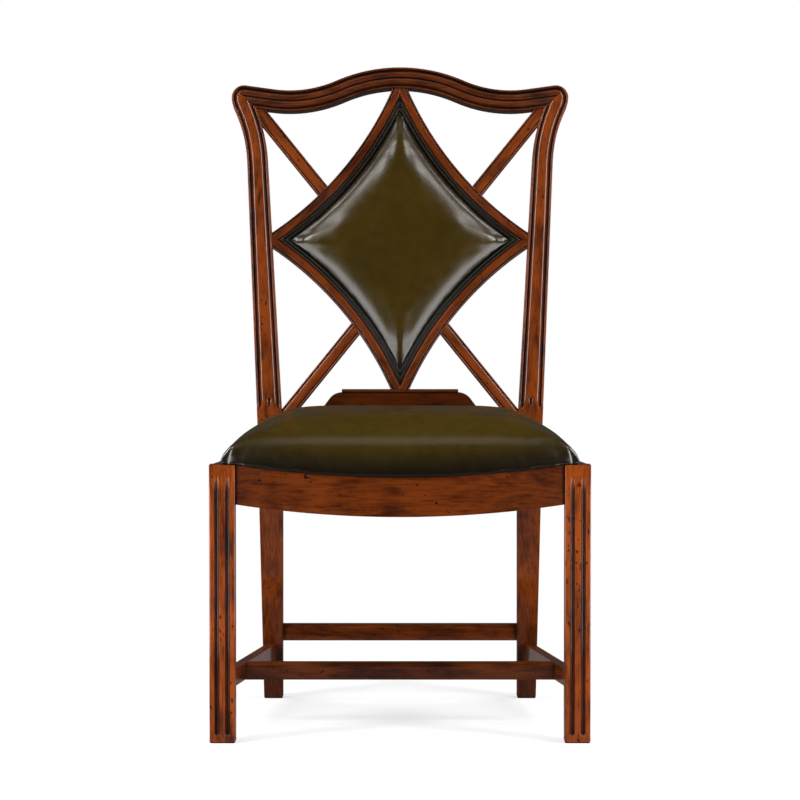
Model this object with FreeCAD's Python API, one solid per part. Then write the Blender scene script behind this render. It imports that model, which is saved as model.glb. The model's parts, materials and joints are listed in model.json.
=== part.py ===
import FreeCAD, Part
import math
import os

from FreeCAD import Placement, Rotation, Vector

# Dining side chair with a mitred, reeded back frame round an upholstered diamond.
# Millimetres. The chair faces -Y and +X is on the right of someone looking at its front.

# Overall layout, measured from the front faces of the front legs
chair_width = 559.0
seat_frame_height = 409.0
post_reach = 445.0
knee_rise = 21.0

# Front legs
leg_side = 38.0
leg_edge_radius = 2.0
leg_inner_chamfer = 6.0
flute_width = 7.0
flute_spacing = 15.8
flute_head_margin = 14.0
flute_point_length = 25.0
flute_foot_margin = 12.0

# Rear posts, side view
back_rake = 8.0
foot_setback = 45.0
foot_depth = 29.0
post_seat_depth = 36.0
stile_depth = 28.0
joint_flat_drop = 31.0
post_bend_radius = 300.0

# Rear posts, front view
post_half_span = 187.0
post_knee_width = 40.0
foot_half_span = 189.5
foot_width = 28.5
stile_outer_lean = 2.48
stile_top_width = 33.0

# Crest rail, as a walk along its top edge from the middle to the ear
crest_height = 594.4
crest_band = 34.5
crown_radius = 255.0
crown_turn = 23.9
dip_radius = 184.0
ear_rise = 7.9
ear_radius = 20.0
ear_side_radius = 38.0
ear_undercut = 25.0
flare_radius = 237.0

# Reeded moulding of the back frame
bead_width = 4.2
bead_drop = 2.6
bead_crown = 1.2
bead_flat = 1.8
cove_width = 4.2
cove_bend = 2.5
cove_depth = 3.4
quirk_depth = 4.5
reed_shoulder = 1.2
reed_round = 3.0
groove_width = 3.4
groove_depth = 3.4
moulding_stop = 58.0
runout_radius = 40.0
runout_angle = 35.0

# Diamond of four curved bars
diamond_hollow = 30.4
diamond_drop = 2.0
diamond_side_bury = 18.6
diamond_tip_bury = 33.3
bar_width = 16.4
bar_depth = 20.0
bar_bead = 3.0
bar_bead_flat = 1.4
bar_bead_drop = 2.1
bar_bead_crown = 1.0
bar_quirk = 1.2
back_recess = 3.0
pocket_depth = 6.0
welt_width = 9.6
welt_height = 6.5
welt_valley = 2.4
back_welt_height = 5.0
back_pad_crown = 22.0
back_pad_slope = 26.0
back_pad_levels = ((0.0, 0.45), (0.4, 0.8), (1.0, 1.0))
outside_back_thickness = 7.0

# Diagonal braces
brace_width = 21.0
brace_lean = 38.75
brace_foot_rise = 24.6
brace_bead = 2.8
brace_bead_drop = 2.0
brace_bead_crown = 0.6
brace_quirk = 1.2

# Shoe behind the seat
shoe_half_width = 93.0
shoe_round = 25.0
shoe_turn = 53.0
shoe_slope_run = 27.0
shoe_rise = 86.6
shoe_depth = 28.0
shoe_setback = 5.0
cap_thickness = 5.0
cap_overhang = 2.0
cap_edge_radius = 1.8

# Seat rails
rail_height = 58.0
rail_thickness = 25.0
rail_setback = 5.0
side_rail_setback = 4.0
front_bow = 22.0
seat_dip = 16.8

# Stretchers
stretcher_width = 22.0
stretcher_height = 26.0
thumb_radius = 5.0
thumb_step = 0.8
side_stretcher_top = 97.0
side_stretcher_fall = 7.0
stretcher_edge_setback = 1.5
medial_reach = 208.0
rear_stretcher_top = 121.0
rear_stretcher_setback = 4.0

# Joinery
tenon_length = 13.0
tenon_shoulder = 5.0
tenon_cheek = 6.0
mortise_relief = 1.0
peg_side = 6.0
peg_half = 9.0
block_leg = 70.0
block_nose = 8.0
block_height = 40.0

# Seat upholstery
board_thickness = 9.0
cover_thickness = 1.6
pad_side_inset = 13.0
pad_front_inset = 6.0
pad_overhang = 5.0
pad_rear_overhang = 5.0
pad_post_clearance = 1.5
pad_corner_radius = 24.0
pad_rear_corner_radius = 10.0
pad_crown_rise = 72.0
pad_side_rise = 3.0
pad_shoulder_run = 61.5
pad_shoulder_rise = 56.0
pad_shoulder_bulge = 9.0
pad_nose_rise = 15.0
pad_roll_length = 34.0
pad_roll_rise = 44.0
pad_roll_bulge = 7.0
pad_crown_setback = 210.0
pad_rear_rise = 46.0

# Working allowance by which cutting shapes pass what they cut
spare = 60.0

leg_outer_x = chair_width / 2
leg_inner_x = leg_outer_x - leg_side
foot_reach = post_reach + foot_setback
post_outer_x = post_half_span + post_knee_width
knee_height = seat_frame_height + knee_rise
rail_bottom = seat_frame_height - rail_height
joint_flat_bottom = rail_bottom - joint_flat_drop
shoe_height = seat_frame_height + shoe_rise
cap_top = shoe_height + cap_thickness
pad_crown_height = seat_frame_height + pad_crown_rise
X_AXIS = Vector(1, 0, 0)
Y_AXIS = Vector(0, 1, 0)
Z_AXIS = Vector(0, 0, 1)


def plan(a, b):
    return Vector(a, b, 0)


def elevation(a, b):
    return Vector(a, 0, b)


def side_view(a, b):
    return Vector(0, a, b)


def line(start, end):
    return Part.LineSegment(start, end).toShape()


def arc(start, middle, end):
    return Part.Arc(start, middle, end).toShape()


def outline(steps, at):
    """Closed wire. A step is a point, or a pair (point on an arc, the arc's end)."""
    here = at(*steps[0])
    first = here
    edges = []
    for step in steps[1:]:
        if isinstance(step[0], tuple):
            end = at(*step[1])
            edges.append(arc(here, at(*step[0]), end))
        else:
            end = at(*step)
            edges.append(line(here, end))
        here = end
    edges.append(line(here, first))
    return Part.Wire(edges)


def rounded_outline(corners, at):
    """Closed wire of straight sides. Each corner is (a, b, radius)."""
    count = len(corners)
    ends = []
    for i, (a, b, radius) in enumerate(corners):
        corner = at(a, b)
        before = at(*corners[i - 1][:2])
        after = at(*corners[(i + 1) % count][:2])
        back = (before - corner).normalize()
        ahead = (after - corner).normalize()
        half = back.getAngle(ahead) / 2
        reach = radius / math.tan(half)
        middle = corner
        if radius:
            inward = (back + ahead).normalize()
            middle = corner + inward * (radius / math.sin(half) - radius)
        ends.append((corner + back * reach, middle, corner + ahead * reach))
    edges = []
    for i, (start, middle, end) in enumerate(ends):
        if (end - start).Length > 1e-6:
            edges.append(arc(start, middle, end))
        edges.append(line(end, ends[(i + 1) % count][0]))
    return Part.Wire(edges)


def prism(wire, start, travel):
    """Solid of a flat wire, moved by start and pushed along travel."""
    face = Part.Face(wire)
    face.translate(start)
    return face.extrude(travel)


def box(low, high):
    size = high - low
    return Part.makeBox(size.x, size.y, size.z, low)


def mirrored(shape):
    return shape.mirror(Vector(), X_AXIS)


def both(shape):
    return [shape, mirrored(shape)]


def cut_all(shape, cutters):
    for cutter in cutters:
        shape = shape.cut(cutter)
    return shape


class Trail:
    """A flat path of straight runs and tangent arcs, walked from a start point."""

    def __init__(self, x, y, heading):
        self.point = plan(x, y)
        self.heading = heading
        self.centre = None
        self.edges = []

    def forward(self):
        angle = math.radians(self.heading)
        return plan(math.cos(angle), math.sin(angle))

    def left(self):
        ahead = self.forward()
        return plan(-ahead.y, ahead.x)

    def run(self, length):
        if length:
            end = self.point + self.forward() * length
            self.edges.append(line(self.point, end))
            self.point = end
        return self

    def turn(self, radius, angle):
        """Arc to the left for a positive angle, to the right for a negative one."""
        hand = math.copysign(1, angle)
        self.centre = self.point + self.left() * (radius * hand)
        spoke = self.point - self.centre
        middle = self.centre + Rotation(Z_AXIS, angle / 2).multVec(spoke)
        end = self.centre + Rotation(Z_AXIS, angle).multVec(spoke)
        self.edges.append(arc(self.point, middle, end))
        self.point = end
        self.heading += angle
        return self


def tangent_heading(point, centre, radius):
    """Heading from a point to the near side of a circle that lies on its right."""
    away = centre - point
    direct = math.degrees(math.atan2(away.y, away.x))
    return direct + math.degrees(math.asin(radius / away.Length))


def tangent_length(point, centre, radius):
    return math.sqrt((centre - point).Length ** 2 - radius ** 2)


# The back is drawn flat: x across, y up along the raked back, z towards the sitter.
back_place = Placement(Vector(0, post_reach, knee_height), Rotation(X_AXIS, 90 - back_rake))
back_unplace = back_place.inverse()


def on_back(shape):
    placed = shape.copy()
    placed.Placement = back_place.multiply(placed.Placement)
    return placed


def flat_of(shape):
    placed = shape.copy()
    placed.Placement = back_unplace.multiply(placed.Placement)
    return placed


def back_height(z):
    """Distance up the raked back of a point on its front plane at height z."""
    return (z - knee_height) / math.cos(math.radians(back_rake))


def crest_line(depth, ear_run):
    """Walk along the crest at a depth below its top edge, from the middle to the ear."""
    trail = Trail(0, crest_height - depth, 0)
    trail.turn(crown_radius - depth, -crown_turn)
    trail.turn(dip_radius + depth, crown_turn + ear_rise)
    return trail.run(ear_run)


def outer_line(ear_run):
    """Walk along the whole outside of the back, from the middle of the crest to the knee."""
    trail = crest_line(0, ear_run)
    trail.turn(ear_radius, -(ear_rise + 45))
    trail.turn(ear_radius, -45)
    trail.turn(ear_side_radius, -ear_undercut)
    trail.turn(flare_radius, ear_undercut - stile_outer_lean)
    return trail


def knee_x(trail):
    return trail.point.x - trail.point.y * math.tan(math.radians(stile_outer_lean))


# The straight run into the ear takes up the length left between the crown and the post.
rise = math.radians(ear_rise)
lean = math.radians(stile_outer_lean)
trial_run = 10.0
shortfall = post_outer_x - knee_x(outer_line(trial_run))
ear_run = trial_run + shortfall / (math.cos(rise) - math.sin(rise) * math.tan(lean))

outer = outer_line(ear_run)
flare_centre = outer.centre
outer.run(outer.point.y / math.cos(lean))
CREST_EDGES = 3
EAR_EDGES = 2
ear_point = outer.edges[CREST_EDGES].Vertexes[1].Point

knee_inside = plan(post_half_span, 0)
inner_radius = flare_radius + stile_top_width


def post_line(start, radius, turn):
    """Walk up a post from the knee, then round the flare towards the ear."""
    trail = Trail(start.x, start.y, tangent_heading(start, flare_centre, radius))
    trail.run(tangent_length(start, flare_centre, radius))
    return trail.turn(radius, -turn)


def entry_distance(point, ahead, centre, radius):
    """Distance along a line at which it enters a circle."""
    offset = point - centre
    along = offset.dot(ahead)
    return -along - math.sqrt(along ** 2 - offset.Length ** 2 + radius ** 2)


# Inner corner, where the underside of the crest crosses the inner flare of the post
crest_under = crest_line(crest_band, 0)
under_run = entry_distance(crest_under.point, crest_under.forward(), flare_centre, inner_radius)
inner_corner = crest_under.point + crest_under.forward() * under_run
mitre_way = (ear_point - inner_corner).normalize()

# The diamond fills the back: its sides run into the posts, the crest and the shoe's cap.
stile_heading = math.radians(tangent_heading(knee_inside, flare_centre, inner_radius))


def stile_inside(height):
    """Inner edge of the post's straight part at a height up the back."""
    return plan(post_half_span + height / math.tan(stile_heading), height)


crest_underside = crest_height - crest_band
cap_level = back_height(cap_top)
diamond_height = (crest_underside + cap_level) / 2 - diamond_drop
diamond_half_width = stile_inside(diamond_height).x + diamond_side_bury
diamond_half_height = (crest_underside - cap_level) / 2 + diamond_tip_bury
diamond_side = math.hypot(diamond_half_width, diamond_half_height)
diamond_arc_radius = diamond_side ** 2 / (8 * diamond_hollow) + diamond_hollow / 2
arc_lift = (diamond_arc_radius - diamond_hollow) / diamond_side
diamond_arc_x = diamond_half_width / 2 + diamond_half_height * arc_lift
diamond_arc_rise = diamond_half_height / 2 + diamond_half_width * arc_lift


def mitre_crossing(trail):
    """Point where the last straight run of a trail crosses the mitre."""
    ahead = trail.forward()
    across = plan(-mitre_way.y, mitre_way.x)
    return trail.point + ahead * ((inner_corner - trail.point).dot(across) / ahead.dot(across))


def flare_turn(radius, point):
    """Turn round the flare from the post's straight part to a point on it."""
    start = plan(post_half_span + post_knee_width / 2, 0) if radius < inner_radius else knee_inside
    heading = tangent_heading(start, flare_centre, radius)
    spoke = point - flare_centre
    return heading - (math.degrees(math.atan2(spoke.y, spoke.x)) - 90)


def edge_section(trail_start, inward):
    """Cutting section that leaves a bead and a cove along an edge of the reeded frame."""
    point, ahead = trail_start
    across = plan(-ahead.y, ahead.x) * inward

    def at(p, q):
        return point + across * p + Z_AXIS * q

    cove = bead_width + cove_width
    bead_side = (bead_width - bead_flat) / 2
    return outline(
        [
            (-reed_round, -bead_drop),
            (0, -bead_drop),
            (bead_side, -bead_crown),
            (bead_side + bead_flat, -bead_crown),
            (bead_width, -bead_drop),
            (bead_width, -quirk_depth),
            (bead_width + cove_bend, -cove_depth),
            (cove, -reed_shoulder),
            (cove + reed_round, 0),
            (cove + reed_round, reed_round),
            (-reed_round, reed_round),
        ],
        at,
    )


def groove_section(trail_start):
    """Cutting section of the V groove between the two reeds, with rounded shoulders."""
    point, ahead = trail_start
    across = plan(-ahead.y, ahead.x)

    def at(p, q):
        return point + across * p + Z_AXIS * q

    half = groove_width / 2
    outer_half = half + reed_round
    return outline(
        [
            (-outer_half, 0),
            (-half, -reed_shoulder),
            (0, -groove_depth),
            (half, -reed_shoulder),
            (outer_half, 0),
            (outer_half, reed_round),
            (-outer_half, reed_round),
        ],
        at,
    )


def trail_start(edges):
    first = edges[0]
    ahead = first.tangentAt(first.FirstParameter)
    return first.valueAt(first.FirstParameter), ahead


def sweep(edges, section):
    """Solid left by a flat section that follows a flat path."""
    tool = Part.BRepOffsetAPI.MakePipeShell(Part.Wire(edges))
    tool.setBiNormalMode(Z_AXIS)
    tool.add(section)
    tool.build()
    tool.makeSolid()
    return tool.shape()


def runout(start, section):
    """Curved way out of the wood for a moulding that stops, behind the start of its path."""
    point, ahead = start
    axis = plan(-ahead.y, ahead.x)
    return Part.Face(section).revolve(point + Z_AXIS * runout_radius, axis, runout_angle)


def shortened(trail_edges, length):
    """Path edges with the given length taken off the start of the first, straight one."""
    first = trail_edges[0]
    start = first.valueAt(first.FirstParameter)
    end = first.valueAt(first.LastParameter)
    return [line(start + (end - start).normalize() * length, end)] + trail_edges[1:]


def backwards(edges):
    """The same path walked from its other end."""
    result = []
    for edge in reversed(edges):
        start = edge.valueAt(edge.FirstParameter)
        middle = edge.valueAt((edge.FirstParameter + edge.LastParameter) / 2)
        end = edge.valueAt(edge.LastParameter)
        if isinstance(edge.Curve, Part.Line):
            result.append(line(end, start))
        else:
            result.append(arc(end, middle, start))
    return result


groove_crest = crest_line(crest_band / 2, 0)
groove_corner = mitre_crossing(groove_crest)
groove_radius = (groove_corner - flare_centre).Length
knee_middle = plan(post_half_span + post_knee_width / 2, 0)
OVERRUN = 4.0


def post_outline():
    """Front view of the right-hand post, foot to mitre."""
    floor = back_height(0) - spare
    foot_in = plan(foot_half_span, floor)
    foot_out = plan(foot_half_span + foot_width, floor)
    inside = post_line(knee_inside, inner_radius, flare_turn(inner_radius, inner_corner))
    edges = [line(foot_in, knee_inside)] + inside.edges
    edges.append(line(inner_corner, ear_point))
    edges += outer.edges[CREST_EDGES + 1:]
    edges += [line(outer.point, foot_out), line(foot_out, foot_in)]
    return Part.Wire(Part.sortEdges(edges)[0])


def post_side_outline():
    """Side view of a post: raked foot, upright joint zone, raked stile."""
    rake = math.radians(back_rake)
    up = plan(math.sin(rake), math.cos(rake))
    rearward = plan(math.cos(rake), -math.sin(rake))
    knee = plan(post_reach, knee_height)
    top = knee + up * (crest_height + spare)
    top_rear = top + rearward * stile_depth
    rear_y = post_reach + post_seat_depth
    rear_start = knee + rearward * stile_depth
    rear_knee = rear_start.y + (rear_y - rear_start.x) / math.tan(rake)
    return rounded_outline(
        [
            (foot_reach, 0, 0),
            (post_reach, joint_flat_bottom, post_bend_radius),
            (post_reach, knee_height, post_bend_radius / 2),
            (top.x, top.y, 0),
            (top_rear.x, top_rear.y, 0),
            (rear_y, rear_knee, post_bend_radius),
            (rear_y, joint_flat_bottom, post_bend_radius),
            (foot_reach + foot_depth, 0, 0),
        ],
        side_view,
    )


def post_blank():
    front = prism(post_outline(), Z_AXIS * spare, Z_AXIS * (-4 * spare))
    side = prism(post_side_outline(), X_AXIS * foot_half_span / 2, X_AXIS * chair_width)
    return on_back(front).common(side)


def moulded_post(blank):
    """Right-hand post with its reeds, which run out just above the seat."""
    inside = post_line(knee_inside, inner_radius, flare_turn(inner_radius, inner_corner) + OVERRUN)
    middle = post_line(knee_middle, groove_radius, flare_turn(groove_radius, groove_corner) + OVERRUN)
    outside = backwards(outer.edges[CREST_EDGES:])
    cutters = []
    for edges, inward in ((outside, 1), (inside.edges, -1), (middle.edges, 0)):
        path = shortened(edges, moulding_stop)
        start = trail_start(path)
        section = edge_section(start, inward) if inward else groove_section(start)
        cutters += [sweep(path, section), runout(start, section)]
    return cut_all(blank, [on_back(cutter) for cutter in cutters])


def crest_blank():
    """Crest before it is moulded, drawn flat."""
    top = outer.edges[:CREST_EDGES + 1]
    bottom = crest_line(crest_band, under_run).edges
    half = top + bottom + [line(inner_corner, ear_point)]
    edges = half + [mirrored(edge) for edge in half]
    wire = Part.Wire(Part.sortEdges(edges)[0])
    return prism(wire, Vector(), Z_AXIS * -stile_depth)


def full_width(edges):
    """Path from the left ear to the right one, from its right half."""
    return [mirrored(edge) for edge in backwards(edges)] + edges


def moulded_crest(blank):
    top = backwards(full_width(outer.edges[:CREST_EDGES + EAR_EDGES]))
    bottom = full_width(crest_line(crest_band, under_run + spare / 4).edges)
    reach = (groove_corner - groove_crest.point).Length + spare / 4
    middle = full_width(crest_line(crest_band / 2, reach).edges)
    for edges, inward in ((top, 1), (bottom, 1), (middle, 0)):
        start = trail_start(edges)
        section = edge_section(start, inward) if inward else groove_section(start)
        blank = blank.cut(sweep(edges, section))
    return on_back(blank)


def quarter_box(sign):
    """Right-hand upper or lower quarter of the diamond, as a block."""
    low = Vector(0, diamond_height, -2 * spare)
    high = Vector(2 * post_half_span, diamond_height + 2 * post_half_span, 2 * spare)
    block = box(low, high)
    if sign < 0:
        block = block.mirror(Vector(0, diamond_height, 0), Y_AXIS)
    return block


def arc_ring(steps, x_sign, y_sign):
    """Ring of a section turned about the centre of one side of the diamond.

    Sections are drawn as (distance inside the outer edge, height)."""
    centre = Vector(x_sign * diamond_arc_x, diamond_height + y_sign * diamond_arc_rise, 0)

    def at(w, q):
        return centre + Vector(diamond_arc_radius + w, 0, q)

    return Part.Face(outline(steps, at)).revolve(centre, Z_AXIS, 360)


def arc_solid(steps, sign):
    """The part of a ring that lies in the upper or lower right-hand quarter."""
    return arc_ring(steps, 1, sign).common(quarter_box(sign))


def bar_steps():
    front = -back_recess
    bead_side = (bar_bead - bar_bead_flat) / 2
    return [
        (0, front - bar_depth),
        (0, front - bar_bead_drop),
        (bead_side, front - bar_bead_crown),
        (bead_side + bar_bead_flat, front - bar_bead_crown),
        (bar_bead, front - bar_bead),
        (bar_bead + bar_quirk, front),
        (bar_width - bar_bead, front),
        (bar_width, front - bar_bead),
        (bar_width, front - bar_depth),
    ]


def diamond_wire(inset, height):
    """Diamond with four hollow sides, drawn at an inset from the bars' outer edge."""
    radius = diamond_arc_radius + inset
    half_x = diamond_arc_x - math.sqrt(radius ** 2 - diamond_arc_rise ** 2)
    half_y = diamond_arc_rise - math.sqrt(radius ** 2 - diamond_arc_x ** 2)
    toward = Vector(diamond_arc_x, diamond_arc_rise, 0).normalize()
    waist = Vector(diamond_arc_x, diamond_arc_rise, 0) - toward * radius
    middle = Vector(0, diamond_height, height)
    edges = []
    for x_sign, y_sign in ((1, 1), (-1, 1), (-1, -1), (1, -1)):
        tip_x = middle + Vector(half_x * x_sign, 0, 0)
        tip_y = middle + Vector(0, half_y * y_sign, 0)
        hollow = middle + Vector(waist.x * x_sign, waist.y * y_sign, 0)
        start, end = (tip_x, tip_y) if x_sign * y_sign > 0 else (tip_y, tip_x)
        edges.append(arc(start, hollow, end))
    return Part.Wire(edges)


panel_front = -back_recess - pocket_depth
panel_back = -back_recess - bar_depth + pocket_depth


def diamond_pad():
    """Crowned pad on the front of the panel: what lies within four rings, one for each hollow side."""
    start = bar_width + welt_width
    far = start + 2 * post_half_span
    crown = panel_front + back_pad_crown
    steps = [(start, panel_front)]
    steps += [(start + back_pad_slope * a, panel_front + back_pad_crown * b) for a, b in back_pad_levels]
    steps += [(far, crown), (far, panel_front)]
    rings = [arc_ring(steps, x_sign, y_sign) for x_sign in (1, -1) for y_sign in (1, -1)]
    pad = rings[0]
    for ring in rings[1:]:
        pad = pad.common(ring)
    return on_back(pad)


def outside_back():
    """Flat cover on the back of the panel."""
    wire = diamond_wire(bar_width + welt_width, panel_back)
    return on_back(prism(wire, Vector(), Z_AXIS * -outside_back_thickness))


def double_welt_steps():
    """Two cords side by side between the bars and the pad."""
    half = welt_width / 2
    end = bar_width + welt_width
    crest = panel_front + welt_height
    spring = crest - welt_valley
    return [
        (bar_width, panel_front),
        (bar_width, spring),
        (bar_width + half / 2, crest),
        (bar_width + half, spring),
        (bar_width + 3 * half / 2, crest),
        (end, spring),
        (end, panel_front),
    ]


def flat_welt_steps():
    """Flat gimp round the outside back."""
    end = bar_width + welt_width
    back = panel_back - back_welt_height
    return [(bar_width, panel_back), (bar_width, back), (end, back), (end, panel_back)]


def welt(steps):
    """Ring round the panel, of a section that follows the four hollow sides."""
    quarters = [arc_solid(steps, sign) for sign in (1, -1)]
    quarters += [mirrored(quarter) for quarter in quarters]
    ring = quarters[0].multiFuse(quarters[1:])
    return on_back(ring.removeSplitter())


def brace_way(sign):
    """Direction out from the diamond along a right-hand brace, upwards for a positive sign."""
    angle = math.radians(brace_lean)
    return plan(math.sin(angle), sign * math.cos(angle))


def brace(corner, sign):
    """Straight moulded bar whose middle line comes from inside the diamond to a corner of the frame."""
    ahead = brace_way(sign)
    across = plan(-ahead.y, ahead.x)
    half = brace_width / 2
    front = -back_recess
    rear = front - bar_depth
    face = half - brace_bead - brace_quirk

    def at(p, q):
        return corner - ahead * diamond_half_height + across * p + Z_AXIS * q

    bead_base = front - brace_bead_drop
    bead_top = front - brace_bead_crown
    steps = [
        (-half, rear),
        (-half, bead_base),
        ((-half + brace_bead / 2, bead_top), (-half + brace_bead, bead_base)),
        (-half + brace_bead, front - brace_bead),
        (-face, front - brace_bead),
        (-face, front - brace_quirk),
        ((0, front), (face, front - brace_quirk)),
        (face, front - brace_bead),
        (half - brace_bead, front - brace_bead),
        (half - brace_bead, bead_base),
        ((half - brace_bead / 2, bead_top), (half, bead_base)),
        (half, rear),
    ]
    return prism(outline(steps, at), Vector(), ahead * (diamond_half_height + spare))


def peg(point, way):
    """Square peg centred on a joint of the back, drawn flat, at mid depth of the bars."""
    half = Vector(peg_half, peg_side / 2, peg_side / 2)
    shape = box(half * -1, half)
    middle = Vector(point.x, point.y, -back_recess - bar_depth / 2)
    shape.Placement = Placement(middle, Rotation(X_AXIS, way))
    return shape


def seat_slab(lift, far):
    """Space between the dished seat line, raised by lift, and a level far above or below it."""
    side = seat_frame_height + lift
    low = side - seat_dip
    steps = [
        (-chair_width, side),
        (-leg_inner_x, side),
        ((0, low), (leg_inner_x, side)),
        (chair_width, side),
        (chair_width, far),
        (-chair_width, far),
    ]
    return prism(outline(steps, elevation), Y_AXIS * -3 * spare, Y_AXIS * (post_reach + 6 * spare))


under_seat = seat_slab(0, -spare)
over_board = seat_slab(board_thickness, 2 * seat_frame_height)


def thumb_section(depth, height, at):
    """Stretcher section with a thumb moulding along its upper show edge."""
    step_in = thumb_radius + thumb_step
    bend = thumb_radius * (1 - math.sqrt(0.5))
    return outline(
        [
            (depth, 0),
            (depth, height),
            (step_in, height),
            (step_in, height - thumb_step),
            (thumb_step + bend, height - thumb_step - bend),
            (thumb_step, height - step_in),
            (0, height - step_in),
            (0, 0),
        ],
        at,
    )


def front_leg():
    """Right-hand front leg with two stopped flutes on each show face."""
    corners = [
        (leg_outer_x, 0, leg_edge_radius),
        (leg_outer_x, leg_side, leg_edge_radius),
        (leg_inner_x + leg_inner_chamfer, leg_side, 0),
        (leg_inner_x, leg_side - leg_inner_chamfer, 0),
        (leg_inner_x, 0, leg_edge_radius),
    ]
    leg = prism(rounded_outline(corners, plan), Vector(), Z_AXIS * seat_frame_height)
    centre = leg_outer_x - leg_side / 2
    for offset in (-flute_spacing / 2, flute_spacing / 2):
        leg = leg.cut(flute(Vector(centre + offset, 0, 0), Y_AXIS * -1))
        leg = leg.cut(flute(Vector(leg_outer_x, leg_side / 2 + offset, 0), X_AXIS))
    return leg


def flute(foot, out):
    """Round cutter along a face that leaves the wood steeply at the foot, in a long point at the head."""
    radius = flute_width / 2
    low = flute_foot_margin + radius
    shoulder = seat_frame_height - flute_head_margin - flute_point_length
    below = foot + out * flute_width + Z_AXIS * (low - flute_width)
    above = foot + out * flute_width + Z_AXIS * (shoulder + 2 * flute_point_length)
    points = [below, foot + Z_AXIS * low, foot + Z_AXIS * shoulder, above]
    ring = Part.Wire(Part.Circle(below, points[1] - below, radius).toShape())
    tool = Part.BRepOffsetAPI.MakePipeShell(Part.makePolygon(points))
    tool.setTransitionMode(1)
    tool.add(ring)
    tool.build()
    tool.makeSolid()
    return tool.shape()


def front_rail():
    """Bowed and dipped front rail, without its tenons."""
    base = rail_setback
    back = base + rail_thickness
    bowed = outline(
        [
            (-leg_inner_x, base),
            ((0, base - front_bow), (leg_inner_x, base)),
            (leg_inner_x, back),
            ((0, back - front_bow), (-leg_inner_x, back)),
        ],
        plan,
    )
    rail = prism(bowed, Vector(), Z_AXIS * (2 * seat_frame_height)).common(under_seat)
    return rail.cut(seat_slab(-rail_height, -spare))


def front_tenon(relief):
    half = leg_inner_x + tenon_length + relief
    y = rail_setback + tenon_cheek
    high = seat_frame_height - tenon_cheek
    low = seat_frame_height - rail_height + tenon_cheek
    thick = rail_thickness - 2.4 * tenon_cheek
    pair = []
    for sign in (-1, 1):
        ends = sorted((sign * (leg_inner_x - relief), sign * half))
        pair.append(box(Vector(ends[0], y, low), Vector(ends[1], y + thick, high)))
    return pair


def slanted_bar(section_at, start_y, end_y, slope, fall):
    """Bar whose section, drawn across the chair at start_y, is pushed back along a slanting line."""
    travel = end_y - start_y
    return prism(section_at, Vector(), Vector(-slope * travel, travel, -fall * travel))


rail_outer_front = leg_outer_x - side_rail_setback
rail_outer_rear = post_outer_x - side_rail_setback
rail_slope = (rail_outer_front - rail_outer_rear) / (post_reach - leg_side)


def side_rail():
    outer_x = rail_outer_front

    def at(a, b):
        return Vector(a, leg_side, b)

    inner_x = outer_x - rail_thickness
    low = rail_bottom
    section = outline(
        [(inner_x, low), (outer_x, low), (outer_x, seat_frame_height), (inner_x, seat_frame_height)],
        at,
    )
    bar = slanted_bar(section, leg_side, post_reach, rail_slope, 0)
    return bar.common(under_seat)


def side_rail_tenon(relief):
    start = leg_side - tenon_length - relief
    end = post_reach + tenon_length + relief
    middle = rail_outer_front - rail_thickness / 2 + rail_slope * (leg_side - start)
    half = rail_thickness / 2 - 1.2 * tenon_cheek

    def at(a, b):
        return Vector(a, start, b)

    low = rail_bottom + tenon_cheek
    high = seat_frame_height - 2.5 * tenon_cheek
    section = outline(
        [(middle - half, low), (middle + half, low), (middle + half, high), (middle - half, high)], at
    )
    return slanted_bar(section, start, end, rail_slope, 0)


rear_rail_y = post_reach + shoe_setback


def rear_rail():
    low = Vector(-post_outer_x, rear_rail_y, rail_bottom)
    high = Vector(post_outer_x, rear_rail_y + shoe_depth, seat_frame_height)
    return box(low, high).common(under_seat)


def rear_rail_tenon(relief):
    half = post_half_span + tenon_length + relief
    y = rear_rail_y + 1.5 * tenon_cheek
    low = Vector(-half, y, rail_bottom + tenon_cheek)
    return box(low, Vector(half, y + 2 * tenon_cheek, seat_frame_height - seat_dip - tenon_cheek))


side_outer_front = leg_outer_x - stretcher_edge_setback
side_outer_rear = foot_half_span + foot_width + stretcher_edge_setback
side_slope = (side_outer_front - side_outer_rear) / (foot_reach - leg_side)
side_fall = side_stretcher_fall / (foot_reach - leg_side)
side_low = side_stretcher_top - stretcher_height


def side_stretcher():
    def at(a, b):
        return Vector(side_outer_front - a, leg_side, side_low + b)

    section = thumb_section(stretcher_width, stretcher_height, at)
    return slanted_bar(section, leg_side, foot_reach, side_slope, side_fall)


def post_front_at(z):
    """Depth of the post's front face at a height below the joint zone."""
    return foot_reach - foot_setback * z / joint_flat_bottom


def side_stretcher_tenon(relief):
    start = leg_side - tenon_length - relief
    end = post_front_at(side_low) + tenon_length + relief
    middle = side_outer_front - stretcher_width / 2 + side_slope * (leg_side - start)
    low = side_low + tenon_shoulder
    high = low + stretcher_height - 2 * tenon_shoulder
    half = stretcher_width / 2 - tenon_cheek

    def at(a, b):
        return Vector(a, start, b)

    section = outline(
        [(middle - half, low), (middle + half, low), (middle + half, high), (middle - half, high)], at
    )
    return slanted_bar(section, start, end, side_slope, side_fall)


medial_top = side_stretcher_top - side_fall * (medial_reach - leg_side)
medial_low = medial_top - stretcher_height


def beyond_side_stretcher():
    """Everything on the outer side of the right-hand side stretcher's inner face."""
    inner_x = side_outer_front - stretcher_width

    def at(a, b):
        return Vector(a, leg_side, b)

    section = outline(
        [(inner_x, 0), (chair_width, 0), (chair_width, seat_frame_height), (inner_x, seat_frame_height)], at
    )
    return slanted_bar(section, leg_side, foot_reach, side_slope, 0)


def cross_bar(front_y, low):
    """Stretcher that runs across the chair, longer than its place."""
    half = leg_outer_x

    def at(a, b):
        return Vector(-half, front_y + a, low + b)

    return prism(thumb_section(stretcher_width, stretcher_height, at), Vector(), X_AXIS * (2 * half))


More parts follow.
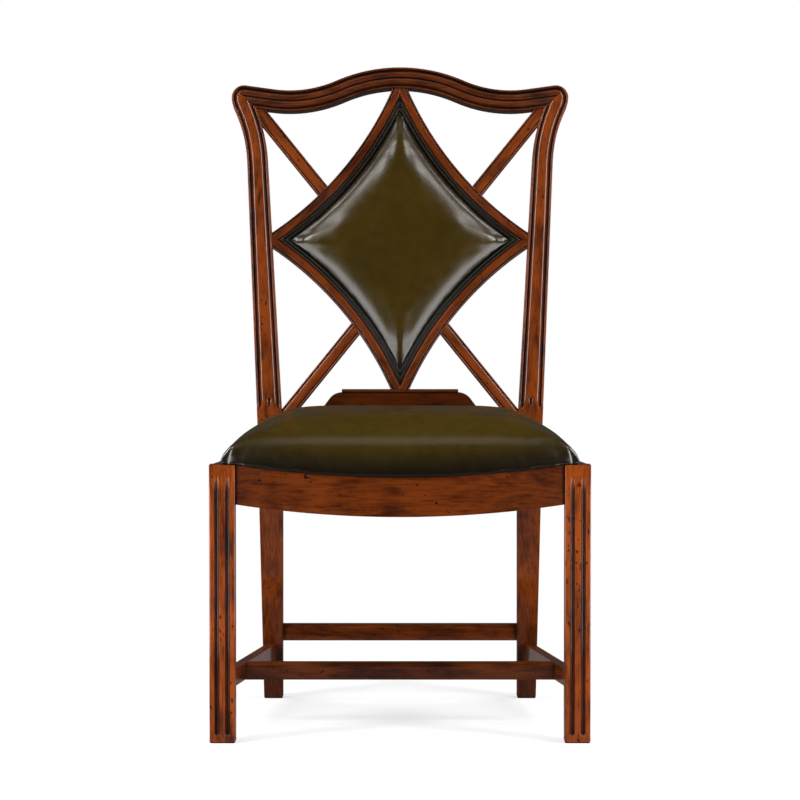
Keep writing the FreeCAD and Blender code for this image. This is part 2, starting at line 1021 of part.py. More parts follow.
def cross_tenon(front_y, low, half):
    corner = Vector(-half, front_y + tenon_cheek, low + tenon_shoulder)
    far = Vector(half, front_y + stretcher_width - tenon_cheek, low + stretcher_height - tenon_shoulder)
    return box(corner, far)


medial_half = side_outer_front - stretcher_width - side_slope * (medial_reach - leg_side) + tenon_length / 2
rear_low = rear_stretcher_top - stretcher_height
rear_front_y = post_front_at(rear_low) + rear_stretcher_setback
rear_half = foot_half_span + tenon_length


def shoe():
    """Block behind the seat, with rounded and sloping ends, standing on the rear rail."""
    turn = math.radians(shoe_turn)

    def on_round(angle):
        drop = shoe_round * (1 - math.cos(angle))
        return shoe_half_width + shoe_round * math.sin(angle), shoe_height - drop

    slope_top = on_round(turn)
    base_x = slope_top[0] + shoe_slope_run
    base_z = slope_top[1] - shoe_slope_run * math.tan(turn)
    right = [
        (shoe_half_width, shoe_height),
        (on_round(turn / 2), slope_top),
        (base_x, base_z),
        (base_x, rail_bottom),
    ]
    half = outline([(0, rail_bottom), (0, shoe_height)] + right, elevation)
    start = Y_AXIS * rear_rail_y
    block = prism(half, start, Y_AXIS * shoe_depth)
    block = block.fuse(mirrored(block)).removeSplitter()
    return block.cut(under_seat)


def shoe_cap():
    low = Vector(-shoe_half_width, rear_rail_y - cap_overhang, shoe_height)
    high = Vector(shoe_half_width, rear_rail_y + shoe_depth + cap_overhang, cap_top)
    strip = box(low, high)
    lengthwise = [e for e in strip.Edges if abs(e.tangentAt(e.FirstParameter).x) > 0.9]
    return strip.makeFillet(cap_edge_radius, lengthwise)


def corner_block(front):
    """Right-hand corner block, larger than its place."""
    if front:
        near = rail_setback + tenon_cheek
        rail_face = rail_setback + rail_thickness - front_bow / 2
        way = 1
        corner_x = leg_inner_x
    else:
        near = rear_rail_y + 2 * tenon_cheek
        rail_face = rear_rail_y
        way = -1
        corner_x = post_half_span
    far_y = (leg_side if front else post_reach) + way * block_leg
    rail_inner = rail_outer_front - rail_thickness - rail_slope * (far_y - leg_side)
    rail_end = corner_x - block_leg
    inside = rail_inner + rail_thickness / 2
    points = [
        (inside, near),
        (rail_end, near),
        (rail_end, rail_face + way * block_nose),
        (rail_inner - block_nose, far_y),
        (inside, far_y),
    ]
    low = seat_frame_height - seat_dip - block_height
    block = prism(outline(points, plan), Z_AXIS * low, Z_AXIS * (2 * block_height))
    return block.common(under_seat)


def pad_block(inset, lift):
    """Seat pad form: bowed front, tapered plan, crowned both ways, dished underside."""
    front_x = leg_outer_x - pad_side_inset - inset
    rear_x = post_outer_x + pad_rear_overhang - inset
    rear_y = post_reach - pad_post_clearance - inset
    corner_y = pad_front_inset + inset
    nose_y = rail_setback - front_bow - pad_overhang + inset
    plan_wire = outline(
        [
            (-front_x, corner_y),
            ((0, nose_y), (front_x, corner_y)),
            (rear_x, rear_y),
            (-rear_x, rear_y),
        ],
        plan,
    )
    block = prism(plan_wire, Vector(), Z_AXIS * (2 * seat_frame_height))
    for radius, is_front in ((pad_corner_radius, True), (pad_rear_corner_radius, False)):
        uprights = [e for e in block.Edges if abs(e.tangentAt(e.FirstParameter).z) > 0.9]
        ends = [e for e in uprights if (e.CenterOfMass.y < post_reach / 2) == is_front]
        ends.sort(key=lambda e: -abs(e.CenterOfMass.x))
        block = block.makeFillet(radius - inset, ends[:2])
    block = block.common(pad_front_view(front_x, inset)).common(pad_side_view(nose_y, rear_y, inset))
    return block.common(seat_slab(lift, 3 * seat_frame_height))


def bulged(start, end, bulge):
    """Point beside the middle of a chord, on its left, for an arc between its ends."""
    chord = plan(*end) - plan(*start)
    middle = plan(*start) + chord * 0.5 + plan(-chord.y, chord.x).normalize() * bulge
    return middle.x, middle.y


def pad_front_view(half, inset):
    """Space under the seat pad's outline from the front, with rounded shoulders."""
    top = pad_crown_height - inset
    side = (half, seat_frame_height + pad_side_rise)
    shoulder = (half - pad_shoulder_run, seat_frame_height + pad_shoulder_rise - inset)
    left = bulged(side, shoulder, -pad_shoulder_bulge)
    steps = [
        (-half, 0),
        (-half, side[1]),
        ((-left[0], left[1]), (-shoulder[0], shoulder[1])),
        ((0, top), shoulder),
        (left, side),
        (half, 0),
    ]
    return prism(outline(steps, elevation), Y_AXIS * -3 * spare, Y_AXIS * (post_reach + 6 * spare))


def pad_side_view(nose, rear, inset):
    """Space under the seat pad's outline from the side, with a rolled front edge."""
    front = (nose, seat_frame_height + pad_nose_rise)
    roll = (nose + pad_roll_length, seat_frame_height + pad_roll_rise - inset)
    rear_top = (rear, seat_frame_height + pad_rear_rise - inset)
    steps = [
        (nose, 0),
        front,
        (bulged(front, roll, pad_roll_bulge), roll),
        ((post_reach - pad_crown_setback, pad_crown_height - inset), rear_top),
        (rear, 0),
    ]
    return prism(outline(steps, side_view), X_AXIS * -chair_width, X_AXIS * (2 * chair_width))


def build():
    parts = {}

    # Front legs, front rail, side rails and rear rail
    leg = front_leg()
    blank = post_blank()
    post = moulded_post(blank)
    rail = front_rail()
    front = cut_all(rail, both(leg)).multiFuse(front_tenon(0))
    side = side_rail()
    rear = cut_all(rear_rail(), both(blank))

    # Stretchers
    side_bar = side_stretcher().cut(blank)
    medial_front = medial_reach - stretcher_width / 2
    medial = cut_all(cross_bar(medial_front, medial_low), both(beyond_side_stretcher()))
    rear_bar = cut_all(cross_bar(rear_front_y, rear_low), both(blank))
    rear_bar = min(rear_bar.Solids, key=lambda s: abs(s.CenterOfMass.x))
    rear = min(rear.Solids, key=lambda s: abs(s.CenterOfMass.x))

    # Mortises
    relief = mortise_relief
    leg = cut_all(leg, front_tenon(relief) + [side_rail_tenon(relief), side_stretcher_tenon(relief)])
    post = cut_all(
        post,
        [
            side_rail_tenon(relief),
            rear_rail_tenon(relief),
            side_stretcher_tenon(relief),
            cross_tenon(rear_front_y, rear_low, rear_half + relief),
        ],
    )
    side_bar = side_bar.fuse(side_stretcher_tenon(0))
    side_bar = side_bar.cut(cross_tenon(medial_front, medial_low, medial_half + relief))
    medial = medial.fuse(cross_tenon(medial_front, medial_low, medial_half))
    rear_bar = rear_bar.fuse(cross_tenon(rear_front_y, rear_low, rear_half))
    side = side.fuse(side_rail_tenon(0))
    rear = rear.fuse(rear_rail_tenon(0))

    # Back: crest, diamond and braces, all trimmed to the frame that they meet
    crest_flat = crest_blank()
    crest = moulded_crest(crest_flat)
    stile_flat = flat_of(blank)
    shoe_block = shoe()
    cap = shoe_cap()
    below_cap = flat_of(box(Vector(-spare * 5, 0, 0), Vector(spare * 5, 2 * post_reach, cap_top)))
    seat_zone = flat_of(box(Vector(-spare * 5, 0, 0), Vector(spare * 5, 2 * post_reach, seat_frame_height)))
    bars = {}
    for name, sign in (("upper", 1), ("lower", -1)):
        bar = arc_solid(bar_steps(), sign)
        bar = cut_all(bar, [stile_flat, crest_flat, below_cap])
        bars[name] = max(bar.Solids, key=lambda s: s.Volume)
    panel = prism(diamond_wire(bar_width, panel_front), Vector(), Z_AXIS * (panel_back - panel_front))
    diamond_space = prism(diamond_wire(0, 2 * spare), Vector(), Z_AXIS * (-4 * spare))
    brace_corners = {"upper": inner_corner, "lower": stile_inside(brace_foot_rise)}
    braces = {}
    for name, sign in (("upper", 1), ("lower", -1)):
        corner = brace_corners[name]
        bar = brace(corner, sign)
        bar = cut_all(bar, [diamond_space, stile_flat, crest_flat, seat_zone])
        target = corner - brace_way(sign) * (2 * brace_width)
        braces[name] = min(bar.Solids, key=lambda s: (s.CenterOfMass - target).Length)

    # Pegs of the back, and their holes
    pins = []
    for name, sign in (("upper", 1), ("lower", -1)):
        ahead = brace_way(sign)
        start = brace_corners[name] - ahead * diamond_half_height
        centre = plan(diamond_arc_x, diamond_height + sign * diamond_arc_rise)
        reach = entry_distance(start, ahead, centre, diamond_arc_radius)
        pins.append(peg(start + ahead * reach, ahead))
        pins.append(peg(stile_inside(diamond_height + sign * peg_side), X_AXIS))
    pins.append(peg(plan(peg_side, crest_height - crest_band), Y_AXIS))
    pins.append(peg(plan(peg_side, back_height(cap_top)), Y_AXIS))
    pins.append(peg((inner_corner + ear_point) * 0.5, plan(-mitre_way.y, mitre_way.x)))
    pins = [on_back(pin) for pin in pins]
    all_pins = pins + [mirrored(pin) for pin in pins]

    # Corner blocks, trimmed to the legs, posts and rails that they are glued to
    blocks = {}
    for name, is_front in (("front", True), ("rear", False)):
        block = cut_all(corner_block(is_front), [front_leg(), blank, front, side, rear])
        blocks[name] = max(block.Solids, key=lambda s: s.Volume)

    # Seat
    outside = pad_block(0, 0)
    inside = pad_block(cover_thickness, -spare / 2)
    cover = outside.cut(inside)
    foam = inside.common(over_board)
    board = inside.cut(over_board).cut(under_seat)

    def pair(name, shape):
        parts[name + "_right"] = shape
        parts[name + "_left"] = mirrored(shape)

    pair("front_leg", leg)
    pair("rear_post", cut_all(post, pins))
    pair("side_seat_rail", side)
    pair("side_stretcher", side_bar)
    for level in ("upper", "lower"):
        pair("diamond_bar_" + level, cut_all(on_back(bars[level]), pins))
        pair("brace_" + level, cut_all(on_back(braces[level]), pins))
    for end in ("front", "rear"):
        pair("corner_block_" + end, blocks[end])
    parts["crest_rail"] = cut_all(crest, all_pins)
    parts["front_seat_rail"] = front
    parts["rear_seat_rail"] = rear
    parts["medial_stretcher"] = medial
    parts["rear_stretcher"] = rear_bar
    parts["back_shoe"] = cut_all(shoe_block, all_pins)
    parts["shoe_cap"] = cut_all(cap, all_pins)
    parts["diamond_panel"] = on_back(panel)
    parts["diamond_pad"] = diamond_pad()
    parts["outside_back"] = outside_back()
    parts["diamond_welt"] = welt(double_welt_steps())
    parts["outside_back_gimp"] = welt(flat_welt_steps())
    parts["back_pegs"] = Part.makeCompound(all_pins)
    parts["seat_board"] = board
    parts["seat_foam"] = foam
    parts["seat_cover"] = cover
    return parts


def centred(parts):
    """Moves every piece so that the origin is under the middle of the chair, on the floor."""
    bounds = FreeCAD.BoundBox()
    for shape in parts.values():
        bounds.add(shape.optimalBoundingBox(False))
    shift = Vector(-bounds.Center.x, -bounds.Center.y, -bounds.ZMin)
    return {name: moved(shape, shift) for name, shape in parts.items()}


def moved(shape, shift):
    copy = shape.copy()
    copy.translate(shift)
    return copy


os.makedirs("parts", exist_ok=True)
for name, shape in centred(build()).items():
    shape.exportStep(os.path.join("parts", name + ".step"))
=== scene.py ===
import json
import math
from contextlib import contextmanager

import bmesh
import bpy
from bpy.props import FloatProperty, FloatVectorProperty, IntProperty, PointerProperty
from mathutils import Matrix, Vector

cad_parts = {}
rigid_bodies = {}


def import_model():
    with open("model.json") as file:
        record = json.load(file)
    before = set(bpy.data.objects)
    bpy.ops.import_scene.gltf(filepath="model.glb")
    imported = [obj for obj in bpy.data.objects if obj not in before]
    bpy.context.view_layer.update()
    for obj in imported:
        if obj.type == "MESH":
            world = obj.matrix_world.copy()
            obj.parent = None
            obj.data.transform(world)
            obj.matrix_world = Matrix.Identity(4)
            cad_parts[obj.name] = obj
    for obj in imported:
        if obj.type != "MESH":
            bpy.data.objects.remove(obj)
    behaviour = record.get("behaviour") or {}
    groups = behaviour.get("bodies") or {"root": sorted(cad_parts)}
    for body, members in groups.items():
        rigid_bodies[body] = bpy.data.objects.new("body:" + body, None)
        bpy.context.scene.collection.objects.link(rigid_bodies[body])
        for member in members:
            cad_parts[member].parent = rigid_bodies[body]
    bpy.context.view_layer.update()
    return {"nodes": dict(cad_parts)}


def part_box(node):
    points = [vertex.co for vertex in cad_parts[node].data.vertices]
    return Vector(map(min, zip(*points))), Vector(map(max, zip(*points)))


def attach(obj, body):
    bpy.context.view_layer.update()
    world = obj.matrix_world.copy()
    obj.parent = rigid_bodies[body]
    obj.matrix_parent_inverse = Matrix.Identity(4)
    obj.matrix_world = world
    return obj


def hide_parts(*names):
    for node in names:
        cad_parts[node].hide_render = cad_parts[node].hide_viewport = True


bl_info = {
    "name": "Diamond-back side chair",
    "version": (1, 0, 0),
    "blender": (4, 5, 0),
    "location": "View3D > Sidebar > Chair",
    "description": "Eased show wood, leather pads, welts and studio for a dining side chair",
    "category": "Object",
}

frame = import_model()
MM = 0.001

# The back as the joiner drew it: a plane raked from the knee of the posts
RAKE = math.radians(8)
UP = Vector((0, math.sin(RAKE), math.cos(RAKE)))
OUT = Vector((0, -math.cos(RAKE), math.sin(RAKE)))
KNEE = Vector((0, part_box("front_leg_right")[0].y + 445 * MM, 430 * MM))
DIAMOND_MIDDLE = 313.6 * MM
DIAMOND_ARC = Vector((507.4, 458.0)) * MM
DIAMOND_RADIUS = 538.6 * MM
BAR_WIDTH = 16.4 * MM
WELT_WIDTH = 9.6 * MM
PANEL_FRONT = -9.0 * MM
PANEL_BACK = -17.0 * MM

# The back pad's crown as drawn, as distances in from its border and shares of its full height
PAD_LEVELS = ((0.0, 0.45), (10.4 * MM, 0.8), (26.0 * MM, 1.0))
# The same crown as stuffed: the width of its rolled border, and the share of its height in the roll
PAD_ROLL = 8.0 * MM
PAD_ROLL_SHARE = 0.8
# How far from the panel the two back pads are held down
TACK_FRONT = 4.0 * MM
TACK_BEHIND = 3.0 * MM

# The dished top of the seat frame
SEAT_SIDE = 409.0 * MM
SEAT_DIP = 16.8 * MM
SEAT_SPAN = 241.5 * MM

# The seat pad's dome: its height, its crown's distance from the front, and how fast it falls from there
DOME_HEIGHT = 88.8 * MM
DOME_SETBACK = 210.0 * MM
DOME_SIDE_FALL = 0.29
DOME_FRONT_FALL = 0.4
DOME_BACK_FALL = 0.27
# How far in from each border the dome is full, the curve of its roll, and its least thickness
ROLL_SIDE = 130.0 * MM
ROLL_NOSE = 75.0 * MM
ROLL_BACK = 80.0 * MM
ROLL_CURVE = 2.3
ROLL_POWER = 0.42
RIM_THICKNESS = 7.0 * MM
RIM_HEIGHT = 4.0 * MM
TACK_HEIGHT = 8.0 * MM
# The pad's plan: depth of its bow over a half width, and the places where its half width is read
BOW_DEPTH = 22.0 * MM
BOW_HALF = 254.0 * MM
PLAN_FRONT = -0.2
PLAN_BACK = 0.1
PLAN_BAND = 6.0 * MM
BOARD_SHARE = 0.965
# The hollow underside of the pad: how far in it starts, in rings of faces, and its depth
HOLLOW_RINGS = 4
HOLLOW_DEPTH = 4.0 * MM

# Cords of the welts: sides of their section, steps of one quarter, and how far a quarter passes its mitres
CORD_SIDES = 12
CORD_STEPS = 40
CORD_OVERRUN = 0.018

# Screws: head, its rounded edge, the cross in it, and the distance of a pair from the middle of its face
HEAD_RADIUS = 4.2 * MM
HEAD_HEIGHT = 2.4 * MM
HEAD_ROUND = 1.4 * MM
CROSS_LENGTH = 4.4 * MM
CROSS_WIDTH = 0.9 * MM
CROSS_DEPTH = 2.0 * MM
PAIR_SPREAD = 18.0 * MM

# Distances within which points become one: in CAD meshes, at the welts' mitres and on the seat pad's border
CAD_MERGE = 0.02 * MM
MITRE_MERGE = 0.2 * MM
BORDER_MERGE = 1.0 * MM
# Length below which an edge of the eased wood is taken out, and height that counts as standing on the floor
SHORT_EDGE = 0.002 * MM
ON_FLOOR = 0.5 * MM

# Angles that count as flat, as an arris to ease, and as smooth
FLAT = math.radians(0.5)
ARRIS = math.radians(34)
SMOOTH = math.radians(42)
ROUND_SMOOTH = math.radians(50)
SCREW_SMOOTH = math.radians(40)

# Show wood: grain direction, strength of the stain's colour, share of knocks, and the nodes. The strengths
# differ from group to group partly as stain and partly as painted shade, so that the stretchers, the shoe
# and the crest come out darker than the front legs.
RISING_RIGHT = UP * 0.78 + Vector((0.626, 0, 0))
RISING_LEFT = UP * 0.78 - Vector((0.626, 0, 0))
SHOW_WOOD = {
    "wood_leg": ((0, 0, 1), 1.0, 1.2, ("front_leg_left", "front_leg_right")),
    "wood_post": ((0, 0, 1), 0.62, 0.5, ("rear_post_left", "rear_post_right")),
    "wood_crest": ((1, 0, 0), 0.36, 0.0, ("crest_rail",)),
    "wood_rail": ((1, 0, 0), 0.51, 0.0, ("front_seat_rail", "rear_seat_rail")),
    "wood_cross": ((1, 0, 0), 0.38, 0.0, ("medial_stretcher", "rear_stretcher")),
    "wood_shoe": ((1, 0, 0), 0.25, 0.0, ("back_shoe", "shoe_cap")),
    "wood_deep": (
        (0, 1, 0), 0.55, 0.2,
        ("side_seat_rail_left", "side_seat_rail_right", "side_stretcher_left", "side_stretcher_right"),
    ),
    "wood_brace_right": (RISING_RIGHT, 0.62, 0.2, ("brace_upper_right", "brace_lower_left")),
    "wood_brace_left": (RISING_LEFT, 0.62, 0.2, ("brace_upper_left", "brace_lower_right")),
    "wood_bar_right": (RISING_RIGHT, 0.44, 0.0, ("diamond_bar_upper_left", "diamond_bar_lower_right")),
    "wood_bar_left": (RISING_LEFT, 0.44, 0.0, ("diamond_bar_upper_right", "diamond_bar_lower_left")),
}
# Painted shade in the glaze colour: the rear posts darker towards the floor, the seat rails darker towards
# their ends. Axis, where it starts, where it is full, and its share
SHADED_ENDS = {
    "wood_post": (2, 0.2, 0.05, 0.62),
    "wood_rail": (0, 0.10, 0.235, 0.28),
}
BLOCKS = (
    "corner_block_front_left", "corner_block_front_right",
    "corner_block_rear_left", "corner_block_rear_right",
)


def on_back(x, up, out):
    """Point of the raked back, from its flat drawing."""
    return KNEE + Vector((x, 0, 0)) + UP * up + OUT * out


def seat_line(x):
    """Height of the dished seat frame at a distance from the middle."""
    radius = (SEAT_SPAN ** 2 + SEAT_DIP ** 2) / (2 * SEAT_DIP)
    across = min(abs(x), SEAT_SPAN)
    return SEAT_SIDE - SEAT_DIP + radius - math.sqrt(radius ** 2 - across ** 2)


class ChairWoodSettings(bpy.types.PropertyGroup):
    ease: FloatProperty(
        name="Eased edge", description="Width taken off every arris of the show wood",
        default=0.00045, min=0.0, max=0.003, unit="LENGTH",
    )
    stain_light: FloatVectorProperty(
        name="Light stain", description="Colour of the pale streaks",
        default=(0.25, 0.048, 0.0050), subtype="COLOR", min=0.0, max=1.0,
    )
    stain_dark: FloatVectorProperty(
        name="Dark stain", description="Colour of the dark streaks",
        default=(0.044, 0.0070, 0.0016), subtype="COLOR", min=0.0, max=1.0,
    )
    # Glaze: also the colour of the painted shade in grooves, on undersides and towards some ends of the
    # show wood
    glaze_and_shade: FloatVectorProperty(
        name="Glaze", description="Colour of the dark wax left in grooves and pores",
        default=(0.0025, 0.0010, 0.0006), subtype="COLOR", min=0.0, max=1.0,
    )
    foot_ease: FloatProperty(
        name="Eased foot", description="Width taken off the edges that stand on the floor",
        default=0.0028, min=0.0, max=0.006, unit="LENGTH",
    )
    gloss: FloatProperty(
        name="Roughness", description="Roughness of the lacquer",
        default=0.3, min=0.05, max=1.0, subtype="FACTOR",
    )


class ChairLeatherSettings(bpy.types.PropertyGroup):
    hide: FloatVectorProperty(
        name="Hide", description="Main colour of the leather",
        default=(0.043, 0.0260, 0.0022), subtype="COLOR", min=0.0, max=1.0,
    )
    # Colour of the painted shade on the pads' lower and outer borders, and the welts' own near-black colour
    shade_and_dark_hide: FloatVectorProperty(
        name="Rubbed hide", description="Colour of the darkened edges and folds",
        default=(0.0030, 0.0020, 0.0009), subtype="COLOR", min=0.0, max=1.0,
    )
    gloss: FloatProperty(
        name="Roughness", description="Roughness of the waxed leather",
        default=0.22, min=0.05, max=1.0, subtype="FACTOR",
    )
    seat_voxel: FloatProperty(
        name="Seat mesh size", description="Voxel size of the seat pad before it is puffed up",
        default=0.006, min=0.003, max=0.02, unit="LENGTH",
    )
    back_voxel: FloatProperty(
        name="Back mesh size", description="Voxel size of the back pads before they are puffed up",
        default=0.004, min=0.003, max=0.02, unit="LENGTH",
    )
    pressure: FloatProperty(
        name="Stuffing pressure", description="Pressure inside the pads during the cloth steps",
        default=4.0, min=0.0, max=20.0,
    )
    seat_swell: FloatProperty(
        name="Seat swell", description="Furthest that a point of the seat pad may move",
        default=0.005, min=0.0, max=0.03, unit="LENGTH",
    )
    back_swell: FloatProperty(
        name="Back swell", description="Furthest that a point of a back pad may move",
        default=0.003, min=0.0, max=0.03, unit="LENGTH",
    )
    steps: IntProperty(
        name="Cloth steps", description="Frames that the cloth runs for", default=20, min=2, max=60,
    )
    cord: FloatProperty(
        name="Welt cord", description="Radius of one cord of the welt",
        default=0.0025, min=0.001, max=0.006, unit="LENGTH",
    )


class ChairStageSettings(bpy.types.PropertyGroup):
    distance: FloatProperty(
        name="Camera distance", description="Distance of the camera from the middle of the chair",
        default=5.0667, min=1.0, max=20.0, unit="LENGTH",
    )
    eye: FloatProperty(
        name="Eye height", description="Height of the camera above the floor",
        default=0.719, min=0.1, max=3.0, unit="LENGTH",
    )
    tilt: FloatProperty(
        name="Tilt", description="How far the camera looks down",
        default=math.radians(2.56), min=-0.5, max=1.5, subtype="ANGLE",
    )
    lens: FloatProperty(
        name="Lens", description="Focal length in millimetres", default=148.1, min=20.0, max=400.0,
    )
    side_light: FloatProperty(
        name="Side lights", description="Power of each tall side softbox", default=88.0, min=0.0,
        unit="POWER",
    )
    high_light: FloatProperty(
        name="High lights", description="Power of each of the two high softboxes", default=16.0, min=0.0,
        unit="POWER",
    )
    front_light: FloatProperty(
        name="Front light", description="Power of the strip softbox above the front", default=4.5, min=0.0,
        unit="POWER",
    )
    low_light: FloatProperty(
        name="Low lights", description="Power of each of the two softboxes by the floor", default=8.0,
        min=0.0, unit="POWER",
    )
    back_light: FloatProperty(
        name="Back lights", description="Power of each of the two softboxes behind the chair",
        default=45.0, min=0.0, unit="POWER",
    )
    reflected: FloatProperty(
        name="Reflected background", description="Share of the white background that reflections show",
        default=0.03, min=0.0, max=1.0, subtype="FACTOR",
    )


class Signal:
    """Socket of a material that can be used in sums."""

    def __init__(self, finish, socket):
        self.finish = finish
        self.socket = socket

    def math(self, operation, first, second):
        return self.finish.add("ShaderNodeMath", {"operation": operation}, {0: first, 1: second})

    def __add__(self, other):
        return self.math("ADD", self, other)

    __radd__ = __add__

    def __sub__(self, other):
        return self.math("SUBTRACT", self, other)

    def __rsub__(self, other):
        return self.math("SUBTRACT", other, self)

    def __mul__(self, other):
        return self.math("MULTIPLY", self, other)

    __rmul__ = __mul__

    def __pow__(self, other):
        return self.math("POWER", self, other)

    def __abs__(self):
        return self.math("ABSOLUTE", self, 0.0)


class Shading:
    """Nodes of a material or of the world."""

    def __init__(self, owner):
        owner.use_nodes = True
        self.tree = owner.node_tree

    def add(self, kind, settings=None, inputs=None, output=0):
        node = self.tree.nodes.new(kind)
        for key, value in (settings or {}).items():
            setattr(node, key, value)
        for key, value in (inputs or {}).items():
            self.feed(node.inputs[key], value)
        return Signal(self, node.outputs[output])

    def feed(self, socket, value):
        if isinstance(value, Signal):
            self.tree.links.new(value.socket, socket)
        else:
            socket.default_value = value

    def seen(self, reflected):
        """1 for rays from the camera and through glass, the given share for reflections."""
        path = self.add("ShaderNodeLightPath").socket.node.outputs
        camera, glossy, through = (
            Signal(self, path[f"Is {kind} Ray"]) for kind in ("Camera", "Glossy", "Transmission")
        )
        return self.add("ShaderNodeClamp", None, {0: camera + through + glossy * reflected})


class Finish(Shading):
    """A material under construction."""

    def __init__(self, name):
        self.material = bpy.data.materials.new(name)
        super().__init__(self.material)
        self.surface = self.tree.nodes["Principled BSDF"]

    def set(self, values):
        for key, value in values.items():
            self.feed(self.surface.inputs[key], value)

    def place(self):
        """Point of the surface, in the chair's own frame."""
        return self.add("ShaderNodeTexCoord", output=3)

    def scaled(self, vector, along, across):
        """Vector with one scale along the grain and another across it."""
        return self.add("ShaderNodeMapping", None, {"Vector": vector, "Scale": (along, across, across)})

    def split(self, vector):
        """The three coordinates of a vector."""
        node = self.add("ShaderNodeSeparateXYZ", None, {0: vector}).socket.node
        return [Signal(self, socket) for socket in node.outputs]

    def mix(self, first, second, factor):
        """Colour between two others."""
        return self.add(
            "ShaderNodeMix", {"data_type": "RGBA"}, {0: factor, 6: colour(first), 7: colour(second)}, 2,
        )

    def ramp(self, signal, low, high):
        """0 below low, 1 above high."""
        return self.add(
            "ShaderNodeMapRange", {"interpolation_type": "SMOOTHSTEP"},
            {"Value": signal, "From Min": low, "From Max": high},
        )

    def noise(self, vector, scale, detail=3.0, roughness=0.55, distortion=0.0):
        return self.add(
            "ShaderNodeTexNoise", None,
            {
                "Vector": vector, "Scale": scale, "Detail": detail,
                "Roughness": roughness, "Distortion": distortion,
            },
        )

    def bump(self, height, strength, distance):
        return self.add(
            "ShaderNodeBump", None, {"Height": height, "Strength": strength, "Distance": distance},
        )


def colour(value):
    return value if isinstance(value, Signal) else (*value, 1.0)


def grain_turn(along):
    """Euler turn that lays a grain direction along X."""
    return Vector(along).rotation_difference(Vector((1, 0, 0))).to_euler()


def show_wood(name, along, strength, wear):
    """Stained and glazed hardwood: the way of its grain, the strength of its colour and its knocks, with
    painted shade in its grooves, on its undersides and, for some groups, towards one end.
    """
    wood = bpy.context.scene.chair_wood
    finish = Finish(name)
    place = finish.place()
    turned = finish.add("ShaderNodeMapping", None, {"Vector": place, "Rotation": grain_turn(along)})
    figure = finish.noise(finish.scaled(turned, 1.0, 4.0), 9.0, 5.0, 0.6, 1.3)
    streaks = finish.noise(finish.scaled(turned, 1.0, 14.0), 22.0, 5.0, 0.65)
    pores = finish.ramp(finish.noise(finish.scaled(turned, 1.0, 9.0), 130.0, 2.0, 0.5), 0.60, 0.72)
    cloud = finish.noise(place, 14.0, 3.0, 0.6)
    dents = finish.noise(finish.scaled(turned, 0.55, 1.0), 190.0, 1.0, 0.4) + wear * 0.05
    knocks = finish.ramp(dents, 0.71, 0.75) * finish.ramp(cloud, 0.40, 0.56)
    # Ambient occlusion paints shade into grooves and inner corners, together with the glaze left there
    shade = finish.add(
        "ShaderNodeAmbientOcclusion", {"samples": 8, "only_local": True}, {"Distance": 0.008}, 1,
    )
    # Painted shade: faces that look down are painted darker, as if lit only from above
    facing = finish.split(finish.add("ShaderNodeNewGeometry", output=1))[2]
    underside_shade = finish.ramp(0 - facing, 0.12, 0.7) * 0.85
    # hollow: glaze and painted shade in grooves, and painted shade on undersides; it also dulls the lacquer
    # there
    hollow = finish.add(
        "ShaderNodeMath", {"operation": "MAXIMUM"}, {0: finish.ramp(1 - shade, 0.07, 0.34), 1: underside_shade},
    )
    tone = figure * 0.5 + streaks * 0.5 + cloud * 0.34 - 0.15
    stains = [[strength * level for level in stain] for stain in (wood.stain_dark, wood.stain_light)]
    body = finish.mix(*stains, finish.ramp(tone, 0.32, 0.66))
    aged = finish.mix(body, wood.glaze_and_shade, pores * 0.45)
    # Painted shade in grooves and on undersides, in the glaze colour
    glazed = finish.mix(aged, wood.glaze_and_shade, hollow * 0.92)
    final = finish.mix(glazed, wood.glaze_and_shade, knocks * 0.9)
    # Painted shade: some groups are painted darker towards one end
    if name in SHADED_ENDS:
        axis, start, full, share = SHADED_ENDS[name]
        reach = abs(finish.split(place)[axis])
        final = finish.mix(final, wood.glaze_and_shade, finish.ramp(reach, start, full) * share)
    relief = streaks * 0.3 - pores * 0.6 - knocks * 2.0
    finish.set({
        "Base Color": final,
        "Roughness": streaks * 0.14 + hollow * 0.12 + (wood.gloss - 0.07),
        "Normal": finish.bump(relief, 0.35, 0.0004),
        "Specular IOR Level": 0.09,
        "Coat Weight": 0.6 - hollow * 0.56,
        "Coat Roughness": 0.07,
    })
    return finish.material


def bare_wood():
    """Unfinished beech of the hidden frame."""
    finish = Finish("bare_beech")
    stretched = finish.scaled(finish.place(), 2.0, 14.0)
    streaks = finish.noise(stretched, 14.0, 4.0, 0.6)
    flecks = finish.ramp(finish.noise(stretched, 90.0, 2.0), 0.62, 0.7)
    body = finish.mix((0.33, 0.19, 0.085), (0.48, 0.31, 0.155), streaks)
    finish.set({
        "Base Color": finish.mix(body, (0.20, 0.10, 0.045), flecks * 0.6),
        "Roughness": streaks * 0.1 + 0.6,
        "Normal": finish.bump(streaks, 0.3, 0.0004),
    })
    return finish.material


def black_cloth():
    """Thin black lining cloth behind the welts."""
    finish = Finish("black_lining")
    weave = finish.add(
        "ShaderNodeTexVoronoi", {"feature": "F1"}, {"Vector": finish.place(), "Scale": 1400.0},
    )
    finish.set({
        "Base Color": finish.mix((0.004, 0.004, 0.004), (0.012, 0.011, 0.010), weave),
        "Roughness": weave * 0.1 + 0.8,
        "Normal": finish.bump(weave, 0.3, 0.0002),
    })
    return finish.material


